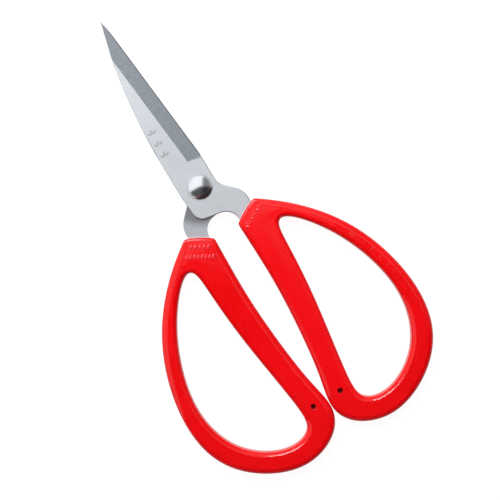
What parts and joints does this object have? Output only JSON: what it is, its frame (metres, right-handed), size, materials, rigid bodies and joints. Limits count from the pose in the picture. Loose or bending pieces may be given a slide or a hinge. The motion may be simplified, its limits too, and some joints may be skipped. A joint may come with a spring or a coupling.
{
  "type": "floral snips",
  "caption": "Slim straight-bladed hand snips with large moulded finger loops, two steel blades crossed on a domed rivet, shown closed.",
  "frame": {"origin": "on the pivot axis, in the plane on which the grips lie", "axes": "+Y along the closed blades from the pivot to the tips, +X towards the right loop, +Z out of the front face, along the pivot axis"},
  "size_m": [0.0962, 0.1738, 0.0102],
  "materials": {
    "blade_steel": "satin ground stainless steel",
    "grip_plastic": "glossy moulded red plastic",
    "rivet_steel": "polished nickel-plated steel",
    "washer_steel": "plain steel"
  },
  "bodies": {
    "rear_half": {"rear_blade": "blade_steel", "left_grip": "grip_plastic", "pivot_rivet": "rivet_steel", "head_washer": "washer_steel", "tail_washer": "washer_steel"},
    "front_half": {"front_blade": "blade_steel", "right_grip": "grip_plastic"}
  },
  "joints": [
    {"name": "pivot_hinge", "type": "hinge", "parent": "rear_half", "child": "front_half", "pos_m": [0, 0, 0.0045], "axis": [0, 0, 1], "range_deg": [0, 109]}
  ]
}
